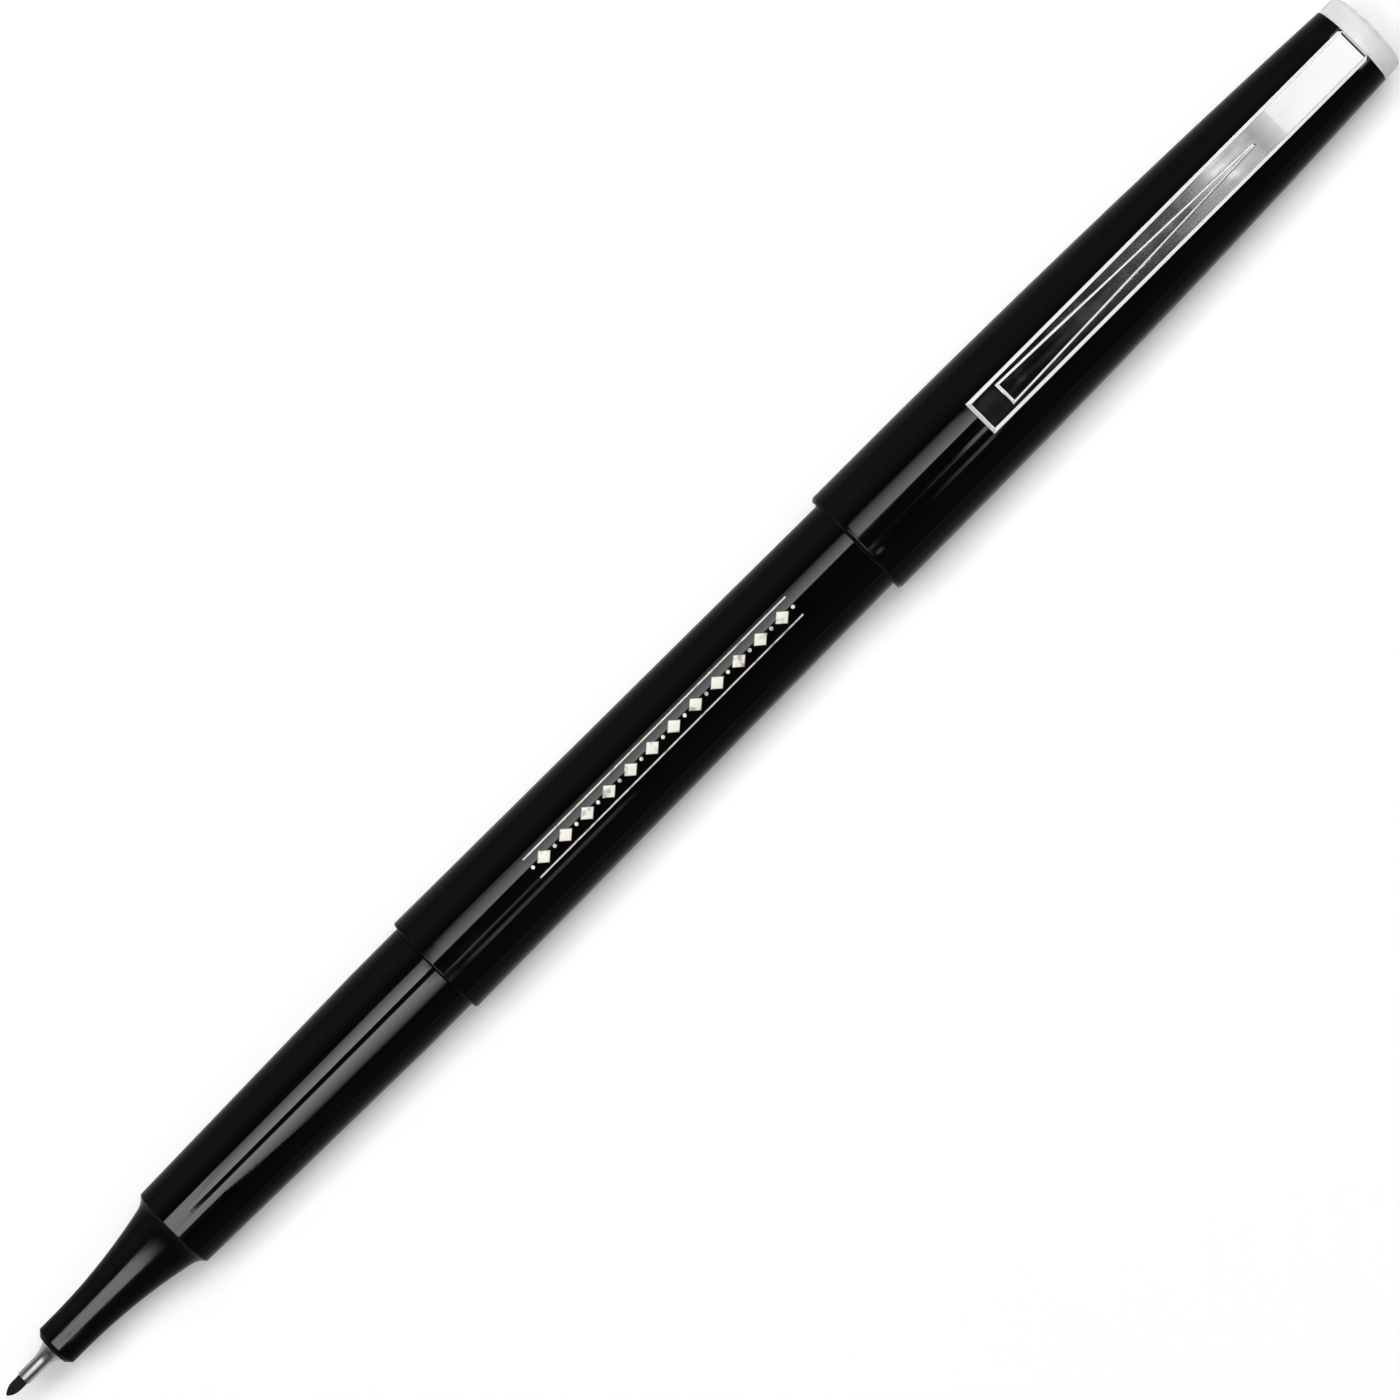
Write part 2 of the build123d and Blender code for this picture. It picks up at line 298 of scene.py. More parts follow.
def makeHairlineGroup():
    # fine handling scratches in two directions
    group, given, result = newGroup("hairlines", {"Size": 700, "Amount": 0.3}, ["Mask"])
    place = addNode(group, "ShaderNodeTexCoord")
    masks = []
    for turn, stretch in hairlines["turnAndStretch"]:
        mapping = addNode(group, "ShaderNodeMapping")
        mapping.inputs["Rotation"].default_value = (0, 0, math.radians(turn))
        mapping.inputs["Scale"].default_value = (stretch, 1, 1)
        group.links.new(place.outputs["Object"], mapping.inputs["Vector"])
        noise = addNode(group, "ShaderNodeTexNoise")
        noise.inputs["Detail"].default_value = hairlines["detail"]
        group.links.new(mapping.outputs["Vector"], noise.inputs["Vector"])
        group.links.new(given.outputs["Size"], noise.inputs["Scale"])
        masks.append(addRange(group, noise.outputs["Fac"], *hairlines["maskSpan"], 0, 1))
    both = addMath(group, "MAXIMUM", masks[0], masks[1])
    group.links.new(addMath(group, "MULTIPLY", both, given.outputs["Amount"]), result.inputs["Mask"])
    return group


def makeStreakGroup():
    # lines drawn along or round a piece by turning, drawing or extruding
    group, given, result = newGroup("drawnStreaks", {"Size": 4000, "Along": 1, "Across": 0.03}, ["Streak"])
    place = addNode(group, "ShaderNodeTexCoord")
    parts = addNode(group, "ShaderNodeSeparateXYZ")
    group.links.new(place.outputs["Object"], parts.inputs["Vector"])
    joined = addNode(group, "ShaderNodeCombineXYZ")
    for axis, stretch in (("X", "Along"), ("Y", "Across"), ("Z", "Across")):
        stretched = addMath(group, "MULTIPLY", parts.outputs[axis], given.outputs[stretch])
        group.links.new(stretched, joined.inputs[axis])
    noise = addNode(group, "ShaderNodeTexNoise")
    noise.inputs["Detail"].default_value = drawnStreaks["detail"]
    group.links.new(joined.outputs["Vector"], noise.inputs["Vector"])
    group.links.new(given.outputs["Size"], noise.inputs["Scale"])
    group.links.new(noise.outputs["Fac"], result.inputs["Streak"])
    return group


skinGroup = makeSkinGroup()
hairlineGroup = makeHairlineGroup()
streakGroup = makeStreakGroup()
print("finish groups made")

# materials built on them; rimSpan runs from the slant at which a gloss face starts to dim to that of a rim
glossPlastic = {"hairlineScale": 2.5, "slantBlend": 0.5, "rimSpan": (0.06, 0.32),
                "rippleStrength": 0.05, "rippleDepth": 0.01}
brightMetal = {"skinSize": 500, "streakSpan": (0.35, 0.65), "streakShare": 0.5, "reliefStrength": 0.05}
bondedFibre = {"shine": 0.15, "along": 0.06, "across": 1, "streakSpan": (0.3, 0.7),
               "roughness": (0.55, 0.85), "reliefStrength": 0.5, "reliefDepth": 0.03}


def dimRims(tree, shader, shine):
    # the shine runs from that of a face seen head on to that of a rim
    slant = addNode(tree, "ShaderNodeLayerWeight")
    slant.inputs["Blend"].default_value = glossPlastic["slantBlend"]
    level = addRange(tree, slant.outputs["Facing"], *glossPlastic["rimSpan"], *shine)
    tree.links.new(level, shader.inputs["Specular IOR Level"])


def makeGlossPlastic(name, dark, light, polished, dull, size, scratches, shine=None):
    # gloss moulded plastic with smudges, hairlines and a trace of ripple
    # its rims are dimmed only where a shine is given
    material, shader = newMaterial(name)
    tree = material.node_tree
    skin = useGroup(tree, skinGroup, Size=size, Polished=polished, Dull=dull)
    marks = useGroup(tree, hairlineGroup, Size=size * glossPlastic["hairlineScale"], Amount=scratches)
    colour = mixColours(tree, skin.outputs["Tone"], dark, light)
    tree.links.new(colour, shader.inputs["Base Color"])
    rough = addMath(tree, "ADD", skin.outputs["Roughness"], marks.outputs["Mask"])
    tree.links.new(rough, shader.inputs["Roughness"])
    if shine:
        dimRims(tree, shader, shine)
    addBump(tree, shader, skin.outputs["Height"],
            glossPlastic["rippleStrength"], glossPlastic["rippleDepth"])
    return material


def makeMetal(name, dark, light, polished, dull, streakSize, along, across, relief):
    # bright metal with drawn or turned lines
    material, shader = newMaterial(name)
    tree = material.node_tree
    streaks = useGroup(tree, streakGroup, Size=streakSize, Along=along, Across=across)
    skin = useGroup(tree, skinGroup, Size=brightMetal["skinSize"], Polished=polished, Dull=dull)
    colour = mixColours(tree, streaks.outputs["Streak"], dark, light)
    tree.links.new(colour, shader.inputs["Base Color"])
    shader.inputs["Metallic"].default_value = 1
    lined = addRange(tree, streaks.outputs["Streak"], *brightMetal["streakSpan"],
                     0, dull * brightMetal["streakShare"])
    tree.links.new(addMath(tree, "ADD", skin.outputs["Roughness"], lined), shader.inputs["Roughness"])
    addBump(tree, shader, streaks.outputs["Streak"], brightMetal["reliefStrength"], relief)
    return material


def makeFibre(name, dark, light, size):
    # bonded fibre, drawn along the pen
    settings = bondedFibre
    material, shader = newMaterial(name)
    tree = material.node_tree
    shader.inputs["Specular IOR Level"].default_value = settings["shine"]
    streaks = useGroup(tree, streakGroup, Size=size, Along=settings["along"], Across=settings["across"])
    tree.links.new(mixColours(tree, streaks.outputs["Streak"], dark, light), shader.inputs["Base Color"])
    rough = addRange(tree, streaks.outputs["Streak"], *settings["streakSpan"], *settings["roughness"])
    tree.links.new(rough, shader.inputs["Roughness"])
    addBump(tree, shader, streaks.outputs["Streak"], settings["reliefStrength"], settings["reliefDepth"])
    return material


# the one black of the nose, grip, barrel and cap
blackPlastic = {"dark": (0.001, 0.001, 0.0013), "light": (0.0028, 0.0028, 0.0031), "scratches": 0.05,
                "shine": (0.5, 0.02)}


# the fibre point, with its rod back to the ink
fibreTip = {"pointRound": 0.14, "pointTilt": 39.3, "pointLength": 1.15, "roundSteps": 6, "sideSteps": 10,
            "edge": 0.02, "sides": 64,
            "finish": {"dark": (0.002, 0.002, 0.003), "light": (0.012, 0.012, 0.014), "size": 9000}}


def makeFibreTip():
    front, back, radius = span("fibre_tip")
    tilt = fibreTip["pointTilt"]
    outline = curvePoints((front, 0), fibreTip["pointRound"], 90, tilt, fibreTip["roundSteps"])
    outline += arcTo(outline[-1], (front + fibreTip["pointLength"], radius), tilt, fibreTip["sideSteps"])
    piece = turnPiece("fibreTip", outline + [(back, radius)], fibreTip["sides"])
    softenEdges(piece, fibreTip["edge"])
    material = makeFibre("inkFibre", **fibreTip["finish"])
    seatPiece(piece, "pen_body", "fibre_tip", material)


# the bright sleeve that grips the point
tipSleeve = {"neckRadius": 0.62, "neckLength": 1.8, "bore": 0.52, "flareSteps": 12, "edge": 0.04,
             "sides": 96,
             "finish": {"dark": (0.26, 0.26, 0.25), "light": (0.4, 0.4, 0.39), "polished": 0.2, "dull": 0.32,
                        "streakSize": 9000, "along": 1, "across": 0.02, "relief": 0.002}}


def makeTipSleeve():
    front, back, shankRadius = span("tip_sleeve")
    flareStart = (front + tipSleeve["neckLength"], tipSleeve["neckRadius"])
    flare = arcTo(flareStart, (noseFront, shankRadius), 0, tipSleeve["flareSteps"])
    outline = [(front, tipSleeve["bore"]), (front, tipSleeve["neckRadius"]), flareStart]
    outline += flare + [(back, shankRadius), (back, tipSleeve["bore"]), (front, tipSleeve["bore"])]
    piece = turnPiece("tipSleeve", outline, tipSleeve["sides"], tube=True)
    softenEdges(piece, tipSleeve["edge"])
    material = makeMetal("turnedSteel", **tipSleeve["finish"])
    seatPiece(piece, "pen_body", "tip_sleeve", material)


# the concave nose
noseCone = {"hole": 1.12, "frontRadius": 1.92, "chamfer": 0.44, "straight": 1.75, "flareLength": 1.05,
            "flareRise": 0.68, "spigotRadius": 2.75, "channel": 0.8, "socketLength": 6.02, "sideSteps": 18,
            "flareSteps": 8, "edge": 0.06,
            "finish": {**blackPlastic, "polished": 0.12, "dull": 0.18, "size": 350, "scratches": 0.06}}


def makeNoseCone():
    settings = noseCone
    straightEnd = (noseFront + settings["straight"], settings["frontRadius"])
    flareStart = (gripFront - settings["flareLength"], noseShoulderRadius - settings["flareRise"])
    shoulder = (gripFront, noseShoulderRadius)
    flareTurn = headingAt(straightEnd, flareStart, 0)
    outline = [
        (noseFront, settings["hole"]),
        (noseFront, settings["frontRadius"] - settings["chamfer"]),
        (noseFront + settings["chamfer"], settings["frontRadius"]),
        straightEnd,
    ]
    outline += arcTo(straightEnd, flareStart, 0, settings["sideSteps"])
    outline += arcTo(flareStart, shoulder, flareTurn, settings["flareSteps"])
    outline += [
        (gripFront, settings["spigotRadius"]),
        (noseBack, settings["spigotRadius"]),
        (noseBack, settings["channel"]),
        (noseFront + settings["socketLength"], settings["channel"]),
        (noseFront + settings["socketLength"], settings["hole"]),
        (noseFront, settings["hole"]),
    ]
    piece = turnPiece("noseCone", outline, tube=True)
    softenEdges(piece, settings["edge"])
    material = makeGlossPlastic("noseBlack", **settings["finish"])
    seatPiece(piece, "pen_body", "nose_cone", material)


# the tapered grip with its land for the cap
gripSection = {"frontRadius": 3.82, "landLength": 5.3, "spigotRadius": 3.75, "bore": 3.16,
               "socketRadius": 2.77, "web": 0.6, "edge": 0.08, "rings": 8,
               "finish": {**blackPlastic, "polished": 0.02, "dull": 0.05, "size": 250}}


def makeGripSection():
    settings = gripSection
    landStart = barrelFront - settings["landLength"]
    webEnd = noseBack + settings["web"]
    outline = [(gripFront, settings["socketRadius"])]
    for ring in range(settings["rings"] + 1):
        share = ring / settings["rings"]
        station = gripFront + (landStart - gripFront) * share
        radius = settings["frontRadius"] + (gripLandRadius - settings["frontRadius"]) * share
        outline.append((station, radius))
    outline += [
        (barrelFront, gripLandRadius),
        (barrelFront, settings["spigotRadius"]),
        (gripBack, settings["spigotRadius"]),
        (gripBack, settings["bore"]),
        (webEnd, settings["bore"]),
        (webEnd, settings["socketRadius"]),
        (gripFront, settings["socketRadius"]),
    ]
    piece = turnPiece("gripSection", outline, tube=True)
    softenEdges(piece, settings["edge"])
    material = makeGlossPlastic("gripBlack", **settings["finish"])
    seatPiece(piece, "pen_body", "grip_section", material)


# the barrel
barrelTube = {"frontEdge": 0.12, "bore": 3.36, "socketRadius": 3.77, "socketRoom": 0.2, "edge": 0.05,
              "rings": 12, "finish": {**blackPlastic, "polished": 0.02, "dull": 0.06, "size": 220}}


# a plain foil ornament on the barrel's top: lozenges and dots between two fine rules
foilBand = {"margin": 11.3, "count": 12, "pitch": 2.45, "lozengeHalf": (0.72, 0.62), "dotRadius": 0.16,
            "ruleOffset": 1.0, "ruleHalf": 0.06, "tone": (0.78, 0.75, 0.66), "metal": 0.2, "rough": 0.35,
            "softness": {"lozenge": 0.08, "dot": 0.15, "rule": 0.4, "ends": 0.002}, "topRise": 1,
            "wearScale": 1500, "wearSpan": (0.3, 0.48), "wearLevels": (0.55, 1)}


def makeFoilGroup():
    group, given, result = newGroup("foilBand", {}, ["Mask"])
    pitch = foilBand["pitch"]
    place = addNode(group, "ShaderNodeTexCoord")
    parts = addNode(group, "ShaderNodeSeparateXYZ")
    group.links.new(place.outputs["Object"], parts.inputs["Vector"])
    along = addMath(group, "DIVIDE", parts.outputs["X"], mm)
    along = addMath(group, "SUBTRACT", along, barrelFront + foilBand["margin"])
    aside = addMath(group, "ABSOLUTE", addMath(group, "DIVIDE", parts.outputs["Y"], mm), 0)
    fromDot = addMath(group, "PINGPONG", along, pitch / 2)
    fromLozenge = addMath(group, "SUBTRACT", pitch / 2, fromDot)

    def inside(distance, edge, form):
        softness = foilBand["softness"][form]
        return addRange(group, distance, edge * (1 - softness), edge * (1 + softness), 1, 0)

    halfLength, halfHeight = foilBand["lozengeHalf"]
    slant = addMath(group, "ADD", addMath(group, "DIVIDE", fromLozenge, halfLength),
                    addMath(group, "DIVIDE", aside, halfHeight))
    dotSpan = addMath(group, "SQRT", addMath(group, "ADD", addMath(group, "POWER", fromDot, 2),
                                             addMath(group, "POWER", aside, 2)), 0)
    fromRule = addMath(group, "ABSOLUTE", addMath(group, "SUBTRACT", aside, foilBand["ruleOffset"]), 0)
    lozenges = inside(slant, 1, "lozenge")
    shapes = addMath(group, "MAXIMUM", lozenges, inside(dotSpan, foilBand["dotRadius"], "dot"))
    shapes = addMath(group, "MAXIMUM", shapes, inside(fromRule, foilBand["ruleHalf"], "rule"))

    # only along the band, only on the top half, and a little worn
    half = pitch * foilBand["count"] / 2
    fromMiddle = addMath(group, "ABSOLUTE", addMath(group, "SUBTRACT", along, half), 0)
    shapes = addMath(group, "MULTIPLY", shapes, inside(fromMiddle, half + foilBand["dotRadius"], "ends"))
    height = addMath(group, "DIVIDE", parts.outputs["Z"], mm)
    onTop = addRange(group, height, axisHeight, axisHeight + foilBand["topRise"], 0, 1)
    wear = addNode(group, "ShaderNodeTexNoise")
    wear.inputs["Scale"].default_value = foilBand["wearScale"]
    group.links.new(place.outputs["Object"], wear.inputs["Vector"])
    worn = addRange(group, wear.outputs["Fac"], *foilBand["wearSpan"], *foilBand["wearLevels"])
    shapes = addMath(group, "MULTIPLY", shapes, addMath(group, "MULTIPLY", onTop, worn))
    group.links.new(shapes, result.inputs["Mask"])
    return group


def printFoil(material):
    tree = material.node_tree
    shader = next(node for node in tree.nodes if node.type == "BSDF_PRINCIPLED")
    foil = useGroup(tree, makeFoilGroup())
    mask = foil.outputs["Mask"]
    plainColour = shader.inputs["Base Color"].links[0].from_socket
    plainRough = shader.inputs["Roughness"].links[0].from_socket
    tree.links.new(mixColours(tree, mask, plainColour, foilBand["tone"]), shader.inputs["Base Color"])
    tree.links.new(addRange(tree, mask, 0, 1, plainRough, foilBand["rough"]), shader.inputs["Roughness"])
    tree.links.new(addMath(tree, "MULTIPLY", mask, foilBand["metal"]), shader.inputs["Metallic"])


def makeBarrel():
    settings = barrelTube
    socketEnd = gripBack + settings["socketRoom"]
    outline = [
        (barrelFront, settings["socketRadius"]),
        (barrelFront, barrelFrontRadius - settings["frontEdge"]),
    ]
    sideStart = barrelFront + settings["frontEdge"]
    for ring in range(settings["rings"] + 1):
        station = sideStart + (barrelBack - sideStart) * ring / settings["rings"]
        outline.append((station, barrelRadiusAt(station)))
    outline += [
        (barrelBack, settings["bore"]),
        (socketEnd, settings["bore"]),
        (socketEnd, settings["socketRadius"]),
        (barrelFront, settings["socketRadius"]),
    ]
    piece = turnPiece("barrelTube", outline, tube=True)
    softenEdges(piece, settings["edge"])
    material = makeGlossPlastic("barrelBlack", **settings["finish"])
    printFoil(material)
    seatPiece(piece, "pen_body", "barrel", material)


# the stopper in the barrel's tail
tailPlug = {"cupRadius": 2.59, "floor": 0.6, "spigotRadius": 3.34, "edge": 0.35, "edgeSteps": 6,
            "seam": 0.03,
            "finish": {"dark": (0.006, 0.006, 0.007), "light": (0.012, 0.012, 0.013), "polished": 0.2,
                       "dull": 0.32, "size": 400, "scratches": 0.05}}


def makeTailPlug():
    settings = tailPlug
    edgeStart = (tailBack - settings["edge"], barrelBackRadius)
    outline = [
        (barrelBack - settings["floor"], settings["cupRadius"]),
        (tailFront, settings["cupRadius"]),
        (tailFront, settings["spigotRadius"]),
        (barrelBack, settings["spigotRadius"]),
        (barrelBack, barrelBackRadius),
        edgeStart,
    ]
    outline += curvePoints(edgeStart, settings["edge"], 0, -90, settings["edgeSteps"])
    piece = turnPiece("tailPlug", outline)
    softenEdges(piece, settings["seam"])
    material = makeGlossPlastic("tailBlack", **settings["finish"])
    seatPiece(piece, "pen_body", "tail_plug", material)


# the cap, posted on the tail
capShell = {"lipEdge": 0.3, "lipDrop": 0.2, "straight": 2.3, "fit": 0.05, "landLength": 18,
            "socketRadius": 2.6, "socketLength": 6.4, "cupGap": 0.02, "stepLead": 0.45, "notchDepth": 0.63,
            "notchWidth": 3.42, "endGap": 0.02, "edge": 0.05, "rings": 36,
            "finish": {**blackPlastic, "polished": 0.025, "dull": 0.06, "size": 220}}


def makeCapShell():
    settings = capShell
    cupFront, cupBack, cupRadius = span("inner_cap")
    endRadius = plugRadius + settings["endGap"]
    arcStart = (capLip + settings["straight"], capLipRadius)
    bore = barrelRadiusAt(capLip) + settings["fit"]
    landEnd = capLip + settings["landLength"]
    deepBore = barrelRadiusAt(landEnd) + settings["fit"]
    seatRadius = cupRadius + settings["cupGap"]
    seatFront = cupFront - settings["stepLead"]
    socketFloor = capEnd - settings["socketLength"]
    outline = [
        (capLip, bore),
        (capLip, capLipRadius - settings["lipDrop"]),
        (capLip + settings["lipEdge"], capLipRadius),
        arcStart,
    ]
    outline += arcTo(arcStart, (capEnd, endRadius), 0, settings["rings"])
    outline += [
        (capEnd, settings["socketRadius"]),
        (socketFloor, settings["socketRadius"]),
        (socketFloor, seatRadius),
        (seatFront, seatRadius),
        (seatFront, deepBore),
        (landEnd, deepBore),
        (landEnd, bore),
        (capLip, bore),
    ]
    piece = turnPiece("capShell", outline, tube=True)
    half = settings["notchWidth"] / 2
    cutBox(piece, (capEnd - settings["notchDepth"], -half, axisHeight),
           (capEnd + settings["notchDepth"], half, axisHeight + capLipRadius))
    softenEdges(piece, settings["edge"])
    material = makeGlossPlastic("capBlack", **settings["finish"])
    seatPiece(piece, "cap", "cap_shell", material)


# the cup inside the cap that keeps the point wet
innerCup = {"bore": 3.14, "floor": 0.8, "edge": 0.05,
            "finish": {"dark": (0.66, 0.66, 0.63), "light": (0.76, 0.76, 0.73), "polished": 0.35,
                       "dull": 0.5, "size": 500, "scratches": 0.04}}


def makeInnerCup():
    mouth, back, radius = span("inner_cap")
    outline = [
        (back - innerCup["floor"], innerCup["bore"]),
        (mouth, innerCup["bore"]),
        (mouth, radius),
        (back, radius),
    ]
    piece = turnPiece("innerCup", outline)
    softenEdges(piece, innerCup["edge"])
    material = makeGlossPlastic("naturalPlastic", **innerCup["finish"])
    seatPiece(piece, "cap", "inner_cap", material)


# the pale plug that closes the cap and holds the clip
capPlug = {"stemRadius": 2.58, "edge": 0.7, "edgeSteps": 10, "flatHeight": 1.35, "seam": 0.06,
           "finish": {"dark": (0.78, 0.79, 0.8), "light": (0.84, 0.85, 0.86), "polished": 0.22, "dull": 0.34,
                      "size": 350, "scratches": 0.05}}


def makeCapPlug():
    settings = capPlug
    edgeStart = (plugBack - settings["edge"], plugRadius)
    outline = [
        (plugFront, settings["stemRadius"]),
        (capEnd, settings["stemRadius"]),
        (capEnd, plugRadius),
        edgeStart,
    ]
    outline += curvePoints(edgeStart, settings["edge"], 0, -90, settings["edgeSteps"])
    piece = turnPiece("capPlug", outline)
    cutBox(piece, (plugFront - settings["edge"], -plugRadius, axisHeight + settings["flatHeight"]),
           (capEnd, plugRadius, axisHeight + plugRadius))
    softenEdges(piece, settings["seam"])
    material = makeGlossPlastic("paleGreyPlastic", **settings["finish"])
    seatPiece(piece, "cap", "cap_plug", material)


# the stamped pocket clip
pocketClip = {"width": 3.3, "thickness": 0.4, "bevelWidth": 0.3, "bevelDepth": 0.34, "endBevelDepth": 0.305,
              "runLength": 32.5, "backLength": 9.87, "legLength": 2.5, "rootGap": 0.06,
              "shoulderHeight": 5.03, "endHeight": 5.33, "shoulderBend": 25.0, "hookBend": 0.3,
              "degreesPerStep": 6, "fewestSteps": 4,
              "edge": 0.03, "rounding": {"steps": 2, "fromAngle": 14, "smoothUnder": 10},
              "finish": {"dark": (0.76, 0.76, 0.75), "light": (0.84, 0.84, 0.83), "polished": 0.03,
                         "dull": 0.07, "streakSize": 2500, "along": 0.03, "across": 1, "relief": 0.0003}}
raisedPanel = {"endMargin": 2.78, "shoulderMargin": 1.4, "wideHalf": 1.07, "narrowHalf": 0.2, "wall": 0.19,
               "height": 0.2, "levelCosine": 0.9999}


def selectFaces(piece, wanted):
    bpy.ops.object.mode_set(mode="OBJECT")
    for face in piece.data.polygons:
        face.select = wanted(face)
    bpy.ops.object.mode_set(mode="EDIT")


def extrudeStrip(length, heading):
    step = (length * math.cos(heading) * mm, 0, length * math.sin(heading) * mm)
    bpy.ops.mesh.extrude_region_move(TRANSFORM_OT_translate={"value": step})
    return Vector(step)


def sliceSelected(point, normal, **choices):
    bpy.ops.mesh.bisect(plane_co=point, plane_no=normal.normalized(),
                        threshold=joinWithin["slice"] * mm, **choices)


def turnStrip(turn, centre):
    bpy.ops.transform.rotate(value=turn, orient_axis="Y", center_override=centre)


def makePocketClip():
    settings = pocketClip
    low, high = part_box("pocket_clip")
    half = settings["thickness"] / 2
    bridge = high.x / mm - half
    shoulder = bridge - settings["backLength"]
    legHeight = low.z / mm - axisHeight + half
    rootHeight = plugRadius + capShell["endGap"] + settings["rootGap"] + half
    corners = [
        (shoulder - settings["runLength"], settings["endHeight"]),
        (shoulder, settings["shoulderHeight"]),
        (bridge, rootHeight),
        (bridge, legHeight),
        (bridge - settings["legLength"], legHeight),
    ]
    bends = [settings["shoulderBend"], settings["hookBend"], settings["hookBend"]]
    legs = [Vector((b[0] - a[0], b[1] - a[1])) for a, b in zip(corners, corners[1:])]
    headings = [math.atan2(leg.y, leg.x) for leg in legs]
    headings[-1] -= 2 * math.pi  # the hook turns down and back
    turns = [b - a for a, b in zip(headings, headings[1:])]
    trims = [0] + [bend * math.tan(abs(turn) / 2) for bend, turn in zip(bends, turns)] + [0]

    # the strip's section at the foot, with its two upper corners cut off
    deselectAll()
    place = Vector((corners[0][0] * mm, 0, (axisHeight + corners[0][1]) * mm))
    heading = headings[0]
    bpy.ops.mesh.primitive_plane_add(size=1, location=place, rotation=(0, -heading - math.pi / 2, 0))
    bpy.context.object.scale = (settings["thickness"] * mm, settings["width"] * mm, 1)
    piece = namePiece("pocketClip")
    up = Vector((-math.sin(heading), 0, math.cos(heading)))
    for side in (-1, 1):
        across = Vector((0, side, 0))
        cutPoint = place + up * half * mm + across * (settings["width"] / 2 - settings["bevelWidth"]) * mm
        cutNormal = up * settings["bevelWidth"] + across * settings["bevelDepth"]
        bpy.ops.object.mode_set(mode="EDIT")
        bpy.ops.mesh.select_all(action="SELECT")
        sliceSelected(cutPoint, cutNormal, clear_outer=True)

    # extruded along the run and turned step by step through each bend
    selectFaces(piece, lambda face: True)
    for leg, heading, turn, bend, trim, nextTrim in zip(
            legs, headings, turns + [0], bends + [0], trims, trims[1:]):
        place += extrudeStrip(leg.length - trim - nextTrim, heading)
        steps = 0
        if turn:
            steps = round(abs(math.degrees(turn)) / settings["degreesPerStep"])
            steps = max(settings["fewestSteps"], steps)
        for step in range(steps):
            turnStrip(turn / steps / 2, place)
            heading += turn / steps
            chord = 2 * bend * math.sin(abs(turn) / steps / 2)
            place += extrudeStrip(chord, heading - turn / steps / 2)
            turnStrip(turn / steps / 2, place)
    along = Vector((math.cos(headings[0]), 0, math.sin(headings[0])))
    endTop = Vector((corners[0][0], 0, axisHeight + corners[0][1])) * mm + up * half * mm
    bpy.ops.mesh.select_all(action="SELECT")
    cutPoint = endTop + along * settings["bevelWidth"] * mm
    cutNormal = up * settings["bevelWidth"] - along * settings["endBevelDepth"]
    sliceSelected(cutPoint, cutNormal, clear_outer=True, use_fill=True)
    bpy.ops.mesh.select_all(action="SELECT")
    bpy.ops.mesh.normals_make_consistent(inside=False)
    raisePanel(piece, endTop, along, up, legs[0].length)
    softenEdges(piece, settings["edge"], **settings["rounding"])
    material = makeMetal("brightPlate", **settings["finish"])
    seatPiece(piece, "clip", "pocket_clip", material)


def raisePanel(piece, endTop, along, up, runLength):
    # four cuts outline the tapered panel on the run's top face, which is then pressed up
    settings = raisedPanel
    length = runLength - settings["endMargin"] - settings["shoulderMargin"]
    wideEnd = endTop + along * settings["endMargin"] * mm
    narrowEnd = wideEnd + along * length * mm
    taper = (settings["wideHalf"] - settings["narrowHalf"]) / length

    def onRun(face):
        ahead = (face.center - wideEnd).dot(along) / mm
        level = face.normal.dot(up) > settings["levelCosine"]
        return level and abs(ahead) < length + settings["shoulderMargin"]

    def inPanel(face):
        ahead = (face.center - wideEnd).dot(along) / mm
        room = settings["wideHalf"] - taper * ahead
        return onRun(face) and 0 < ahead < length and abs(face.center.y) / mm < room

    cuts = [(wideEnd, along), (narrowEnd, along)]
    for side in (-1, 1):
        edgePoint = wideEnd + Vector((0, side * settings["wideHalf"], 0)) * mm
        cuts.append((edgePoint, Vector((0, side, 0)) + along * taper))
    for point, normal in cuts:
        selectFaces(piece, onRun)
        sliceSelected(point, normal)
    selectFaces(piece, inPanel)
    bpy.ops.mesh.inset(thickness=settings["wall"] * mm, depth=settings["height"] * mm)
    bpy.ops.object.mode_set(mode="OBJECT")


makeFibreTip()
makeTipSleeve()
makeNoseCone()
makeGripSection()
makeBarrel()
makeTailPlug()
makeCapShell()
makeInnerCup()
makeCapPlug()
makePocketClip()


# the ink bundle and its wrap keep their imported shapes
inkBundle = {"finish": {"dark": (0.01, 0.01, 0.014), "light": (0.07, 0.07, 0.085), "size": 3000}}
bundleWrap = {"finish": {"dark": (0.6, 0.61, 0.63), "light": (0.7, 0.71, 0.73), "polished": 0.15,
                         "dull": 0.3, "size": 400, "scratches": 0.05}}


def dressInkParts():
    bundle = makeFibre("soakedFibre", **inkBundle["finish"])
    wrap = makeGlossPlastic("clearWrap", **bundleWrap["finish"])
    for node, material in (("ink_reservoir", bundle), ("reservoir_film", wrap)):
        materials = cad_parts[node].data.materials
        materials.clear()
        materials.append(material)


dressInkParts()
print("ink parts dressed")


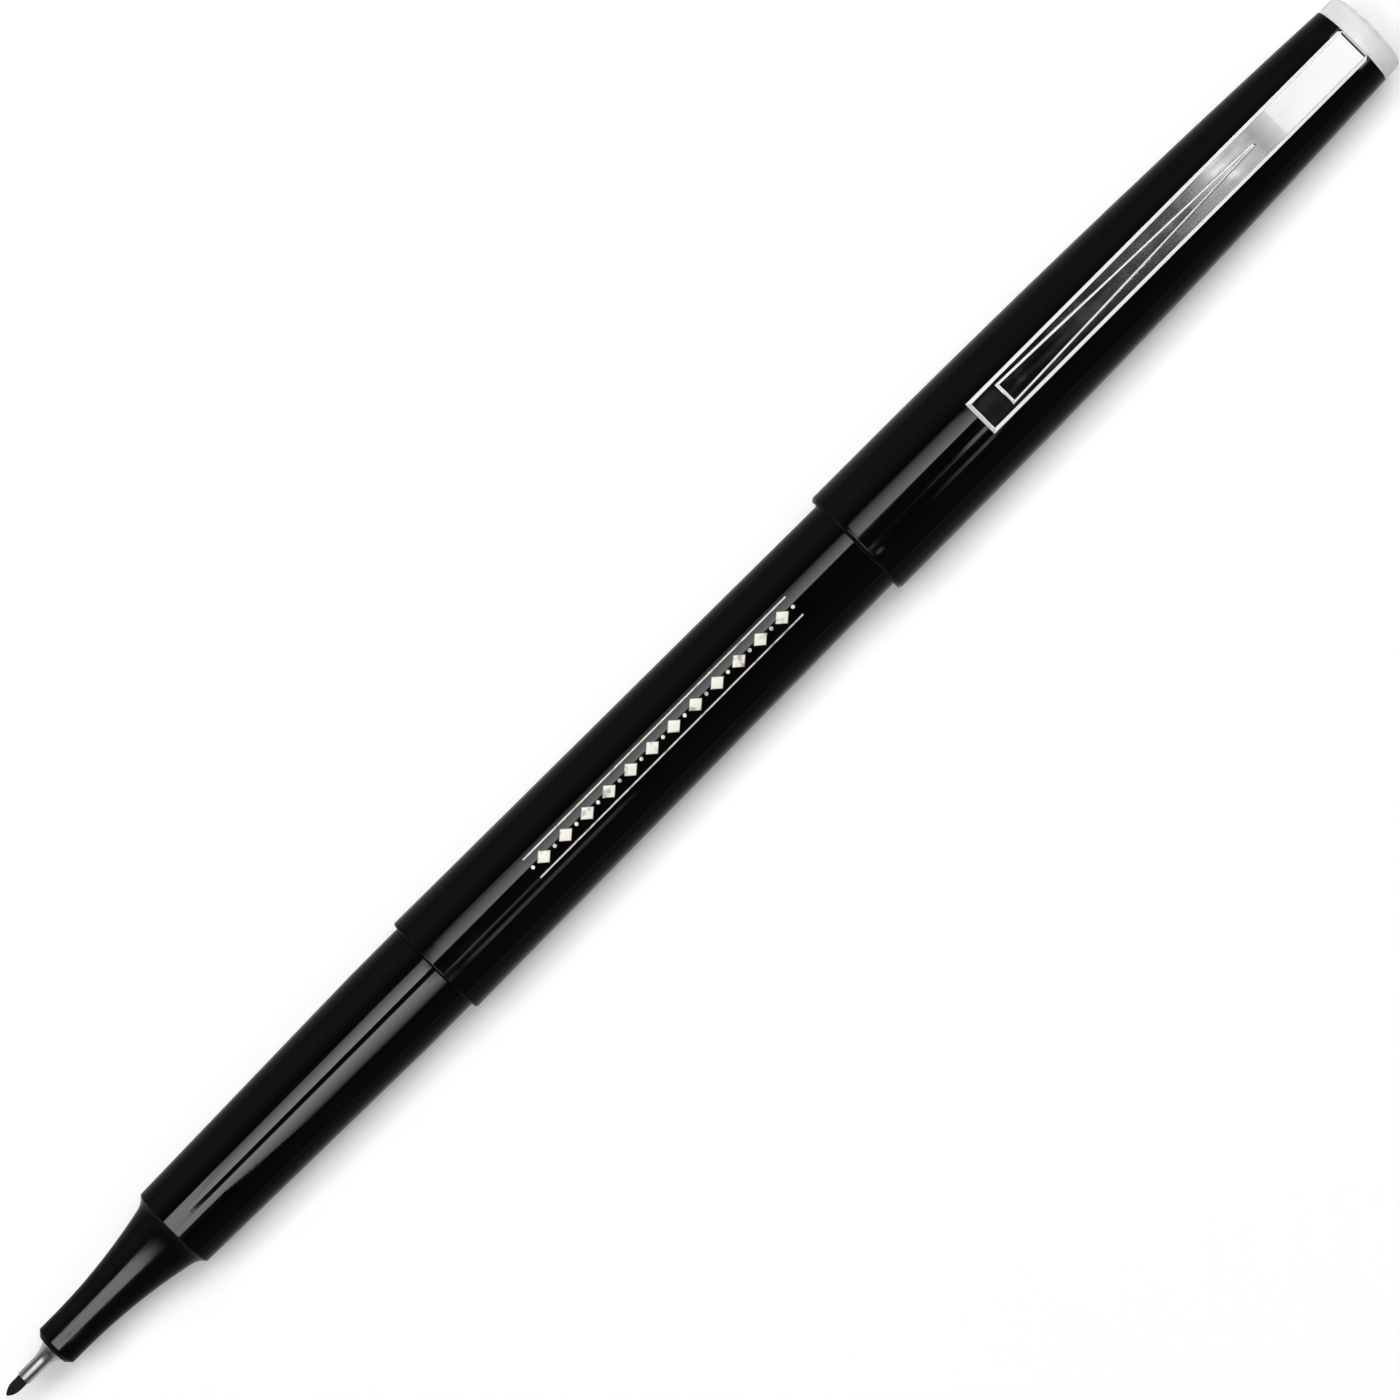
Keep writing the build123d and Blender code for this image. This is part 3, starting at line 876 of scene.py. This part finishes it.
# studio: pale floor, dark ceiling, softboxes placed by the angles at which the gloss shows them
studio = {"floorSize": 6.0, "floorTint": (0.86, 0.86, 0.86), "floorVaries": 1.02,
          "floorSkin": {"Size": 40, "Polished": 0.85, "Dull": 0.95},
          "floorLift": (0.235, 0.9), "liftSpan": (0.15, 1.3), "ceiling": 0.006,
          "wall": 0.35, "wallTop": 0.75, "wallSides": (0.3, 1), "sideSpan": (-0.5, 0.5),
          "frontGlow": 0.75, "frontGlowTop": 0.16, "frontSpan": (-0.4, -0.9)}
onGlossAlone = {"onGloss": True, "onMatt": False}
onMattAlone = {"onGloss": False, "onMatt": True}
softboxes = {
    "noseBox": {"height": 0.6, "alongTilt": (-30.5, -12.4), "acrossTilt": (-24, 28), "radiance": 4.7,
                "fade": "across", "levels": (0.8, 0.8), **onGlossAlone},
    "gripBoxLow": {"height": 0.6, "alongTilt": (-12.4, -5.2), "acrossTilt": (-45.5, -8.5), "radiance": 4.7,
                   "fade": "across", "levels": (0, 1), **onGlossAlone},
    "gripBoxHigh": {"height": 0.6, "alongTilt": (-12.4, -5.2), "acrossTilt": (2.3, 28), "radiance": 4.9,
                    "fade": "across", "levels": (1, 0.3), **onGlossAlone},
    "sideBox": {"height": 0.9, "alongTilt": (-3.75, 6.4), "acrossTilt": (5.5, 34), "radiance": 3.55,
                "fade": "across", "levels": (1, 0.12), **onGlossAlone},
    "lineBoxOuter": {"height": 0.9, "alongTilt": (-3.75, -0.7), "acrossTilt": (-44, -36.5), "radiance": 1.0,
                     "fade": "along", "levels": (1, 0.6), **onGlossAlone},
    "lineBoxInner": {"height": 0.9, "alongTilt": (-3.75, -1.2), "acrossTilt": (-27, -22), "radiance": 0.9,
                     "fade": "along", "levels": (1, 0.4), **onGlossAlone},
    "lineBoxCap": {"height": 0.9, "alongTilt": (5.0, 7.2), "acrossTilt": (-44, -37), "radiance": 1.4,
                   "fade": "along", "levels": (0, 1), **onGlossAlone},
    "lineBoxClip": {"height": 0.9, "alongTilt": (5.55, 7.2), "acrossTilt": (-22.5, -16), "radiance": 11.0,
                    "fade": "along", "levels": (0, 1), **onGlossAlone},
    "runBox": {"height": 0.8, "alongTilt": (7.6, 10.25), "acrossTilt": (-8, 8), "radiance": 0.1,
               "fade": "along", "levels": (0, 1), **onGlossAlone},
    "glintBox": {"height": 0.8, "alongTilt": (10.25, 10.7), "acrossTilt": (-8, 8), "radiance": 1.6,
                 "fade": "along", "levels": (1, 0.6), **onGlossAlone},
    "bendBox": {"height": 0.8, "alongTilt": (10.7, 20.2), "acrossTilt": (-8, 8), "radiance": 0.85,
                "fade": "along", "levels": (0.47, 1), **onGlossAlone},
    "tailBox": {"height": 0.8, "alongTilt": (20.2, 40), "acrossTilt": (-25, 30), "radiance": 1.2,
                "fade": "along", "levels": (1, 1), "onGloss": True, "onMatt": True},
    "keyBox": {"height": 0.9, "alongTilt": (-30, 30), "acrossTilt": (0, 24.5), "radiance": 6.75,
               "fade": "across", "levels": (1, 1), **onMattAlone},
    "fillBox": {"height": 0.9, "alongTilt": (-30, 30), "acrossTilt": (-45, 0), "radiance": 0.2,
                "fade": "across", "levels": (1, 1), **onMattAlone},
}

# two more, beyond the cap on both sides, give the gloss its light from the back
for side, acrossTilt in (("Left", (32, 56)), ("Right", (-56, -32))):
    softboxes["corner" + side] = {
        "height": 0.9, "alongTilt": (28, 55), "acrossTilt": acrossTilt, "radiance": 3.0,
        "fade": "across", "levels": (1, 1), **onGlossAlone}


def makeFloor():
    deselectAll()
    bpy.ops.mesh.primitive_plane_add(size=studio["floorSize"], location=(0, 0, 0))
    floor = namePiece("paleFloor")
    material, shader = newMaterial("palePaper")
    tree = material.node_tree
    skin = useGroup(tree, skinGroup, **studio["floorSkin"])
    tint = studio["floorTint"]
    paler = tuple(min(1, channel * studio["floorVaries"]) for channel in tint)
    tree.links.new(mixColours(tree, skin.outputs["Tone"], tint, paler), shader.inputs["Base Color"])
    tree.links.new(skin.outputs["Roughness"], shader.inputs["Roughness"])
    shader.inputs["Specular IOR Level"].default_value = 0
    shader.inputs["Emission Color"].default_value = (1, 1, 1, 1)
    rays = addNode(tree, "ShaderNodeLightPath")
    seen = addMath(tree, "MAXIMUM", rays.outputs["Is Camera Ray"], rays.outputs["Is Glossy Ray"])
    seen = addMath(tree, "MAXIMUM", seen, rays.outputs["Is Transmission Ray"])
    place = addNode(tree, "ShaderNodeTexCoord")
    reach = addNode(tree, "ShaderNodeVectorMath", operation="LENGTH")
    tree.links.new(place.outputs["Object"], reach.inputs[0])
    lift = addRange(tree, reach.outputs["Value"], *studio["liftSpan"], *studio["floorLift"])
    tree.links.new(addMath(tree, "MULTIPLY", seen, lift), shader.inputs["Emission Strength"])
    floor.data.materials.append(material)


def makeWorld():
    # white to the camera, and for the gloss pale walls under a dark ceiling, brightest beyond the point
    world = bpy.data.worlds.new("studioRoom")
    world.use_nodes = True
    bpy.context.scene.world = world
    tree = world.node_tree
    tree.nodes.clear()
    output = addNode(tree, "ShaderNodeOutputWorld")
    place = addNode(tree, "ShaderNodeTexCoord")
    parts = addNode(tree, "ShaderNodeSeparateXYZ")
    tree.links.new(place.outputs["Generated"], parts.inputs["Vector"])
    wall = addRange(tree, parts.outputs["Z"], 0, studio["wallTop"], studio["wall"], studio["ceiling"])
    side = addRange(tree, parts.outputs["Y"], *studio["sideSpan"], *studio["wallSides"])
    wall = addMath(tree, "MULTIPLY", wall, side)
    glow = addRange(tree, parts.outputs["Z"], 0, studio["frontGlowTop"], studio["frontGlow"], 0)
    front = addRange(tree, parts.outputs["X"], *studio["frontSpan"], 0, 1)
    level = addMath(tree, "ADD", wall, addMath(tree, "MULTIPLY", glow, front))
    room = addNode(tree, "ShaderNodeBackground")
    tree.links.new(level, room.inputs["Strength"])
    white = addNode(tree, "ShaderNodeBackground")
    rays = addNode(tree, "ShaderNodeLightPath")
    mix = addNode(tree, "ShaderNodeMixShader")
    for background in (room, white):
        background.inputs["Color"].default_value = (1, 1, 1, 1)
    tree.links.new(rays.outputs["Is Camera Ray"], mix.inputs["Fac"])
    tree.links.new(room.outputs["Background"], mix.inputs[1])
    tree.links.new(white.outputs["Background"], mix.inputs[2])
    tree.links.new(mix.outputs["Shader"], output.inputs["Surface"])


def makeSoftbox(name, settings):
    # a level panel that spans the given tilts from straight up, seen from the pen
    reach = [[settings["height"] * math.tan(math.radians(tilt)) for tilt in settings[side]]
             for side in ("alongTilt", "acrossTilt")]
    (left, right), (near, far) = reach
    light = bpy.data.lights.new(name, "AREA")
    light.shape = "RECTANGLE"
    light.size = right - left
    light.size_y = far - near
    light.energy = settings["radiance"] * math.pi * light.size * light.size_y
    lamp = bpy.data.objects.new(name, light)
    lamp.location = ((left + right) / 2, (near + far) / 2, settings["height"])
    lamp.visible_glossy = settings["onGloss"]
    lamp.visible_diffuse = settings["onMatt"]
    bpy.context.scene.collection.objects.link(lamp)
    fadeSoftbox(light, settings["fade"], settings["levels"])


def fadeSoftbox(light, fade, levels):
    # the panel's light runs evenly from one level to the other along or across the pen
    light.use_nodes = True
    tree = light.node_tree
    tree.nodes.clear()
    output = addNode(tree, "ShaderNodeOutputLight")
    emission = addNode(tree, "ShaderNodeEmission")
    surface = addNode(tree, "ShaderNodeNewGeometry")
    parts = addNode(tree, "ShaderNodeSeparateXYZ")
    tree.links.new(surface.outputs["Parametric"], parts.inputs["Vector"])
    level = addRange(tree, parts.outputs["X" if fade == "along" else "Y"], 0, 1, *levels)
    tree.links.new(level, emission.inputs["Strength"])
    tree.links.new(emission.outputs["Emission"], output.inputs["Surface"])


# camera straight above, turned so that the pen runs up to the right
view = {"centre": 1.4, "distance": 660.0, "lens": 211.0, "sensor": 36, "clip": (0.01, 20), "turn": -45.09}


def makeCamera():
    camera = bpy.data.cameras.new("topCamera")
    camera.lens = view["lens"]
    camera.sensor_width = view["sensor"]
    camera.clip_start, camera.clip_end = view["clip"]
    holder = bpy.data.objects.new("topCamera", camera)
    holder.location = (view["centre"] * mm, 0, (axisHeight + view["distance"]) * mm)
    holder.rotation_euler = (0, 0, math.radians(view["turn"]))
    bpy.context.scene.collection.objects.link(holder)
    bpy.context.scene.camera = holder


makeFloor()
makeWorld()
for boxName, boxSettings in softboxes.items():
    makeSoftbox(boxName, boxSettings)
makeCamera()
bpy.context.scene.view_settings.view_transform = "Standard"
print("studio made")
